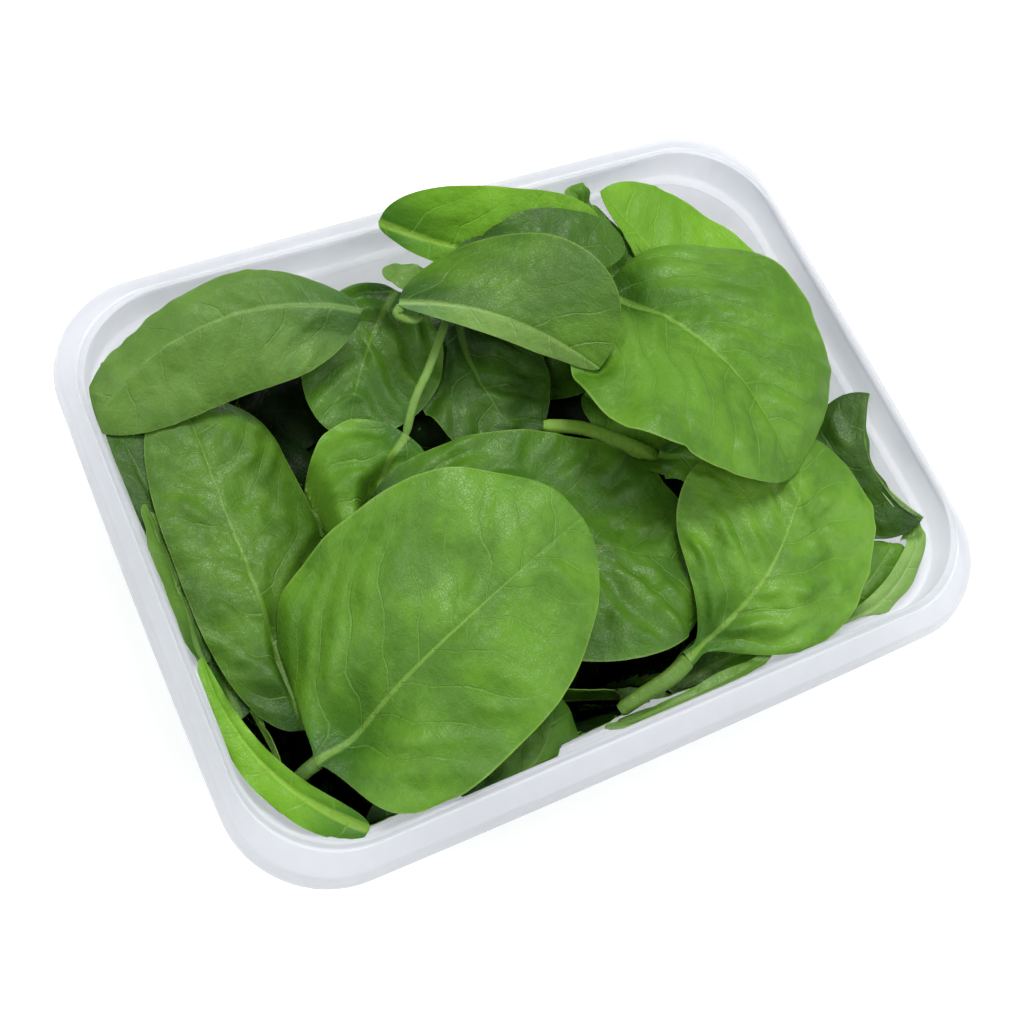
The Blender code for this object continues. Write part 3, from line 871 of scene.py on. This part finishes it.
# %% Describe the top leaves
top_leaves = [
    leaf("left_wall_bright_leaf", (-66, -62, 40), (-85, -18, 46), (5, 3), widest=0.25, lift=2,
         sway=6, roll=-10, ends=(3.0, 1.5), rise=(14, 24), curl=(-26, -20), rows=70, columns=24,
         finish="bright", pucker=0.1, blisters=6, wave=0.5),
    leaf("front_left_leaf", (-71, -45, 39), (-2, -21, 58), (35, 26), widest=0.41, ends=(3.4, 2.1),
         lift=7, roll=2, rise=(-4, 1), curl=(-18, -11), twist=32, rows=130, columns=88,
         pucker=0.4, blisters=40, blister=0.45, throat=7, wave=1.0, rib=1.5, neck=0.035,
         stalk=([(-74, -46, 37), (-79, -48, 31)], (1.5, 1.2)), stalk_finish="deep"),
    leaf("back_middle_leaf", (-19, 39, 60), (18, 10, 58), (22, 5), widest=0.57, ends=(1.5, 2.3),
         sway=3, roll=2, rise=(8, -40), curl=(-4, -4), twist=59, finish="mild", pucker=0.15, blisters=8,
         blister=0.25, throat=0, wave=0.15, ruffle=0.1, pale_half=True,
         stalk=([(-20, 37, 58), (-17, 35, 57), (-14, 36, 56)], (1.0, 0.8))),
    leaf("back_shaded_leaf", (-7, 41, 57), (37, 36, 61), (11, 8), lift=4, sway=1, roll=8, rise=(2, 0),
         curl=(-4, -11), finish="deep", pucker=0.3, wave=0.3, rows=70, columns=40, presses=False),
    leaf("back_bright_leaf", (-15, 60, 59), (37, 42, 54), (15, 5), widest=0.52, ends=(2.4, 2.7),
         lift=5, sway=-5, roll=32, rise=(14, -2), curl=(-2, -13), twist=-3, finish="bright",
         pucker=0.3, blisters=14, wave=0.3),
    leaf("right_broad_leaf", (33, 33, 48), (53, -27, 51), (32, 35), widest=0.53, ends=(2.5, 1.2),
         lift=10, sway=2, roll=-7, rise=(8, 8), curl=(-11, -10), twist=-17, rows=120, columns=84,
         pucker=0.5, blisters=80, blister=0.8, throat=2, wave=1.1, ruffle=0.1),
    leaf("back_right_leaf", (68, 4, 46), (42, 55, 55), (5, 20), widest=0.40, ends=(2.3, 2.1),
         lift=-2, sway=1, roll=2, rise=(7, 6), curl=(-1, -3), twist=4, pucker=0.5, finish="bright"),
    leaf("front_right_leaf", (13, -55, 41), (62, -17, 48), (26, 23), widest=0.57, ends=(2.1, 2.2),
         lift=4, sway=-7, roll=4, rise=(-1, -2), curl=(-16, -16), twist=4, rows=130, columns=84,
         pucker=0.8, blisters=90, blister=1.0, throat=5, wave=1.2, rib=1.8, neck=0.20,
         finish="light", stalk=([(8, -57, 40), (1, -58, 38), (-5, -59, 36)], (1.9, 1.5)), stalk_finish="mild"),
    leaf("middle_puckered_leaf", (-39, 3, 38), (27, -36, 40), (26, 27), widest=0.50, ends=(1.4, 4.0),
         lift=6, sway=-2, roll=2, rise=(3, 4), curl=(-9, -10), twist=-31, rows=120, columns=84,
         pucker=0.7, blisters=110, blister=1.3, throat=0, wave=1.3, finish="middle"),
    leaf("back_left_leaf", (-25, 43, 53), (-89, 40, 42), (17, 9), widest=0.48, ends=(3.0, 2.2),
         lift=6, sway=-9, roll=-13, rise=(-10, -12), curl=(-19, -18), twist=-7, finish="dull",
         rows=110, columns=76, pucker=0.35, blisters=60, blister=0.7, throat=0, ruffle=0.05,
         wave=1.0),
    leaf("left_leaf", (-69, -37, 34), (-68, 42, 43), (14, 21), widest=0.53, ends=(2.8, 3.2),
         lift=2, rise=(4, -8), curl=(-14, -36), rows=120, columns=70, finish="mild",
         pucker=0.5, blisters=90, blister=0.9, throat=0, wave=1.0, ruffle=0.1, rib=1.2),
    leaf("small_bright_leaf", (-25, 15, 44), (-42, -4, 42), (16, 16), widest=0.46, ends=(2.4, 2.0),
         lift=1, sway=-2, roll=3, rise=(2, 1), curl=(-5, -6), rows=64, columns=48,
         pucker=0.8, blisters=36, blister=1.1, wave=1.3, finish="light",
         stalk=([(-21, 21, 47), (-15, 27, 48), (-7, 36, 50)], (0.9, 0.9))),
    # Its stalk gets the bright finish: painted light that lifts it out of the shade of the leaves beside it.
    leaf("loose_stalk_leaf", (30, -8, 41), (44, -20, 40), (6, 6), rows=24, columns=16,
         stalk=([(22, -3, 43), (14, 3, 44), (6, 7, 43)], (1.6, 1.5)), stalk_finish="bright"),
    leaf("small_grey_tip", (-4, 40, 54), (-17, 51, 54), (4, 3), lift=0, roll=1, finish="dull",
         rows=30, columns=20),
    leaf("back_lower_leaf", (-12, 51, 43), (-36, 21, 38), (18, 14), lift=1, sway=-2, rise=(1, 3),
         curl=(-10, -8), finish="middle", pucker=1.0, blisters=40, blister=0.9),
    leaf("middle_lower_leaf", (-2, 37, 44), (2, 4, 39), (17, 14), lift=1, sway=-3, roll=3,
         rise=(2, 2), curl=(-9, -9), finish="deep", pucker=1.0, blisters=40, blister=0.8),
    # Its light finish is painted light: it lifts this leaf out of the shadow of the broad leaf beside it.
    leaf("right_lower_leaf", (21, 13, 40), (39, -13, 42), (14, 9), lift=2, sway=-1, roll=-3,
         rise=(2, 4), curl=(-9, -6), finish="light", rows=60, columns=40),
    leaf("back_gap_leaf", (42, 27, 50), (38, 52, 55), (5, 8), lift=0, sway=3, roll=6, rows=50,
         columns=32, finish="middle", pucker=1.2, wave=1.5),
    leaf("back_tip", (37, 49, 54), (32, 56, 58), (3, 4), lift=0, rows=24, columns=16),
    leaf("right_wall_leaf", (83, -46, 44), (86, -13, 46), (17, 1), widest=0.5, ends=(1.6, 1.6),
         lift=-2, sway=6, rise=(-48, -30), curl=(12, 0), rows=80, columns=50, finish="deep"),
    leaf("right_wall_edge", (48, -61, 38), (83, -45, 45), (3, 3), widest=0.6, ends=(2.4, 2.0),
         lift=1, sway=-6, roll=14, rise=(6, 1), curl=(-24, -24), rows=60, columns=20,
         finish="pale", pucker=0.1, blisters=0, wave=0.2),
    leaf("right_corner_leaf", (44, -61, 35), (76, -47, 41), (9, 8), lift=1, sway=-2, rows=60,
         columns=40, pucker=0.5, blister=0.3),
    leaf("left_wall_strip", (-84, -18, 41), (-84, 18, 45), (4, 5), lift=1, roll=25, rise=(12, -1),
         curl=(-6, -14), rows=50, columns=24, finish="dull", pucker=0.2, blisters=4, wave=0.3),
    leaf("left_wall_leaf", (-81, -30, 34), (-84, 43, 42), (5, 9), widest=0.45, ends=(2.1, 2.2),
         lift=1, sway=-2, roll=3, rows=70, columns=40, finish="deep"),
    leaf("front_corner_leaf", (-46, -64, 40), (-18, -50, 38), (5, 11), lift=3, sway=-6, roll=8,
         rise=(-1, -2), curl=(-14, -16), rows=50, columns=36, finish="middle"),
    leaf("front_wall_strip", (-11, -61, 40), (32, -61, 44), (2, 2), widest=0.7, ends=(1.2, 2.3),
         lift=0, sway=-2, roll=-23, rise=(2, 10), curl=(-9, 2), rows=60, columns=14,
         finish="dull", pucker=0.1, blisters=0, wave=0.3),
    leaf("front_gap_leaf", (10, -58, 31), (62, -56, 37), (9, 6), lift=1, rows=60, columns=40,
         finish="middle"),
    leaf("front_left_gap_leaf", (-66, -62, 34), (-36, -60, 37), (7, 4), lift=1, rows=50, columns=30,
         finish="deep"),
    leaf("small_middle_piece", (-51, 1, 38), (-50, 14, 40), (3, 3), lift=1, sway=-3, rows=30,
         columns=18, pucker=0.2),
    leaf("left_sliver", (-85, 39, 38), (-81, 53, 44), (2, 3), lift=1, sway=-1, rows=30, columns=14,
         finish="deep", pucker=0.2),
]
print("top leaves:", len(top_leaves))

# %% Lay the top leaves
def finish_piece(piece, stands_for):
    """Tell the frame what a finished piece rides on and stands for."""
    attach(piece, "root")
    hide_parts(stands_for)


for index, plan in enumerate(top_leaves):
    points, quads, kinds, maps = lay(plan, index)
    kit = [FINISHES[plan["finish"]], UNDERSIDE, FINISHES[plan["stalk_finish"]]]
    piece = new_piece(plan["name"], points, quads, kit, kinds, maps)
    finish_piece(piece, "spinach_heap")
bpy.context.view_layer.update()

# %% [markdown]
# ## The leaves underneath
#
# Between the top leaves one looks down on others, and through the wall one
# sees leaves pressed against it. They need no place of their own, so they are
# strewn with fixed dice: some prop up the high leaves at the back, some stand
# round the wall, and some lie in layers. They are laid in the same way, under
# everything above them, and joined into three pieces. Fewer, coarser faces are
# enough for them. Deep in the heap almost no light arrives, so the leaves in
# the middle get a near-black finish, painted shade as dark as the gaps they are
# seen through, and those by the far and right walls a darker green one, painted
# shade that is less deep.

# %% Strew the lower leaves
def strewn_leaf(dice, middle, heading, pitch, length, breadth, **more):
    """A leaf round a middle point, heading the given way and pitched up towards its tip."""
    ahead = np.array([
        math.cos(heading) * math.cos(pitch), math.sin(heading) * math.cos(pitch), math.sin(pitch),
    ])
    base, tip = middle - ahead * length / 2, middle + ahead * length / 2
    return leaf(
        "lower", tuple(base), tuple(tip), (breadth * dice.uniform(0.8, 1.1), breadth),
        lift=dice.uniform(0, 5), sway=dice.uniform(-4, 4), twist=dice.uniform(-25, 25),
        curl=(dice.uniform(-20, 0), dice.uniform(-20, 0)), blisters=6, blister=0.4,
        rows=26, columns=16, **more)


dice = np.random.default_rng(77)
wall_plans = []
def lower_finish(middle):
    """Leaves by the far and right walls get some light, and those in the middle lie in deep shade."""
    return "deep" if (middle[1] > 28 and middle[0] > -25) or middle[0] > 50 else "shade"


for level in (27, 13):
    for turn in np.linspace(0, 2 * math.pi, 21)[:-1] + level:
        out = np.array([math.cos(turn), math.sin(turn)])
        reach = 1 / max(abs(out[0]) / 80, abs(out[1]) / 57)
        middle = np.array([*(out * reach), level]) + dice.uniform(-3, 3, 3)
        heading = turn + math.pi / 2 + dice.uniform(-0.6, 0.6)
        wall_plans.append(strewn_leaf(
            dice, middle, heading, dice.uniform(-0.4, 0.4), dice.uniform(40, 56),
            dice.uniform(12, 17), roll=-75 + dice.uniform(-12, 12), finish=lower_finish(middle)))
inner_plans = []
for level in (33, 26, 18):
    for x in np.linspace(-60, 60, 6):
        for y in np.linspace(-38, 38, 4):
            middle = np.array([x, y, level]) + dice.uniform(-7, 7, 3) * (1, 1, 0.3)
            inner_plans.append(strewn_leaf(
                dice, middle, dice.uniform(0, 2 * math.pi), dice.uniform(-0.2, 0.2),
                dice.uniform(44, 62), dice.uniform(13, 19), roll=dice.uniform(-20, 20),
                finish=lower_finish(middle)))
propping_plans = [
    strewn_leaf(
        dice, np.array([x, y, 48]) + dice.uniform(-2, 2, 3), dice.uniform(0, 2 * math.pi),
        dice.uniform(-0.2, 0.2), dice.uniform(34, 42), dice.uniform(11, 14),
        roll=dice.uniform(-20, 20), finish="deep")
    for x in (6, 20, 34) for y in (26, 40)
]
print("wall, inner and propping leaves:", len(wall_plans), len(inner_plans), len(propping_plans))

# %% Keep the lower leaves low where the heap is low
map_x, map_y = np.meshgrid(
    (np.arange(MAP_SHAPE[0]) - MAP_SHAPE[0] / 2) * CELL,
    (np.arange(MAP_SHAPE[1]) - MAP_SHAPE[1] / 2) * CELL, indexing="ij")
low_back = np.clip((map_y - 44) / 12, 0, 1)
low_right = np.clip((map_x - 68) / 10, 0, 1)
covered = (ceiling < 400) & (map_x > 0) & (map_x < 45) & (map_y > 18) & (map_y < 48)
lowest = 37 - 13 * np.maximum(low_back, low_right)
ceiling = np.minimum(ceiling, np.where(covered, 54, lowest))
print("lower leaves stay under 37 mm, and under 24 mm at the far and right walls")

# %% Lay the lower leaves and join them
def joined_leaves(name, plans, first_index, underside):
    """Lay many leaves and make one piece of them."""
    # kind 0 is the near-black painted shade, kind 3 the darker green painted shade of leaves that get some light
    kit = [FINISHES["shade"], FINISHES[underside], STALK, FINISHES["deep"]]
    laid = [lay(plan, first_index + k) for k, plan in enumerate(plans)]
    for plan, leaf_parts in zip(plans, laid):
        if plan["finish"] == "deep":
            leaf_parts[2][leaf_parts[2] == 0] = 3
    starts = np.cumsum([0] + [len(points) for points, _, _, _ in laid])
    piece = new_piece(
        name,
        np.concatenate([leaf_parts[0] for leaf_parts in laid]),
        np.concatenate([leaf_parts[1] + start for leaf_parts, start in zip(laid, starts)]),
        kit,
        np.concatenate([leaf_parts[2] for leaf_parts in laid]),
        {key: np.concatenate([leaf_parts[3][key] for leaf_parts in laid]) for key in laid[0][3]},
    )
    finish_piece(piece, "spinach_heap")
    print(name, "has", len(piece.data.polygons), "faces")


joined_leaves("propping_leaves", propping_plans, 300, "deep")
joined_leaves("wall_leaves", wall_plans, 100, "light")
joined_leaves("inner_leaves", inner_plans, 200, "deep")

# %% [markdown]
# ## Floor, light and camera
#
# The tray stands on a plain white sweep in soft light. A bright world gives
# the even light of a tent. One lamp high up on the far side gives the leaves
# their gentle sheen and the gaps their depth, and two weaker ones, on the left
# and in front on the right, keep the near sides of the leaves from going dark.

# %% Stage the floor
def floor_finish():
    """Plain white, a little luminous, so that it stays even under the tray."""
    material, tree, output = new_material("white_sweep")
    surface = add_node(tree, "ShaderNodeBsdfPrincipled", Roughness=0.9)
    surface.inputs["Base Color"].default_value = (0.9, 0.9, 0.9, 1)
    surface.inputs["Emission Color"].default_value = (1, 1, 1, 1)
    surface.inputs["Emission Strength"].default_value = 0.43
    tree.links.new(surface.outputs[0], output.inputs["Surface"])
    return material


bpy.ops.mesh.primitive_plane_add(size=6.0, location=(0, 0, 0))
floor = bpy.context.object
floor.name = "white_floor"
floor.data.materials.append(floor_finish())
print("floor:", floor.name)

# %% Set the light
def soft_lamp(name, place, aim, size, power):
    """A square area light at a place, aimed at a point."""
    lamp = bpy.data.lights.new(name, "AREA")
    lamp.size = size
    lamp.energy = power
    holder = bpy.data.objects.new(name, lamp)
    holder.location = place
    holder.rotation_euler = (Vector(aim) - Vector(place)).to_track_quat("-Z", "Y").to_euler()
    bpy.context.scene.collection.objects.link(holder)
    return holder


soft_lamp("key_light", (0.22, 0.38, 1.15), (0, 0, 0.04), 0.45, 9.5)
soft_lamp("left_light", (-0.75, 0.15, 0.8), (0, 0, 0.04), 0.6, 3.5)
soft_lamp("front_light", (0.55, -0.55, 0.75), (0, 0, 0.04), 0.6, 3.5)
world = bpy.data.worlds.new("light_tent")
bpy.context.scene.world = world
world.use_nodes = True
background = world.node_tree.nodes["Background"]
background.inputs["Color"].default_value = (1.0, 1.0, 1.0, 1)
background.inputs["Strength"].default_value = 0.36
bpy.context.scene.view_settings.view_transform = "Standard"

# %% Set up the camera
LOOK_AT = Vector((-0.0109, -0.0107, 0.045))
AZIMUTH, ELEVATION, LEAN = map(math.radians, (-50.6, 63.58, 27.89))
DISTANCE = 0.3117

back = Vector((
    math.sin(AZIMUTH) * math.cos(ELEVATION),
    -math.cos(AZIMUTH) * math.cos(ELEVATION),
    math.sin(ELEVATION),
))
right = Vector((0, 0, 1)).cross(back).normalized()
above = back.cross(right)
leaned_right = right * math.cos(LEAN) + above * math.sin(LEAN)
leaned_up = above * math.cos(LEAN) - right * math.sin(LEAN)
camera_data = bpy.data.cameras.new("camera")
camera_data.lens = 49.65
camera_data.sensor_width = 36
camera = bpy.data.objects.new("camera", camera_data)
pose = Matrix((leaned_right, leaned_up, back)).transposed().to_4x4()
pose.translation = LOOK_AT + back * DISTANCE
camera.matrix_world = pose
bpy.context.scene.collection.objects.link(camera)
bpy.context.scene.camera = camera
print("camera at, mm:", [round(1000 * c, 1) for c in camera.location])
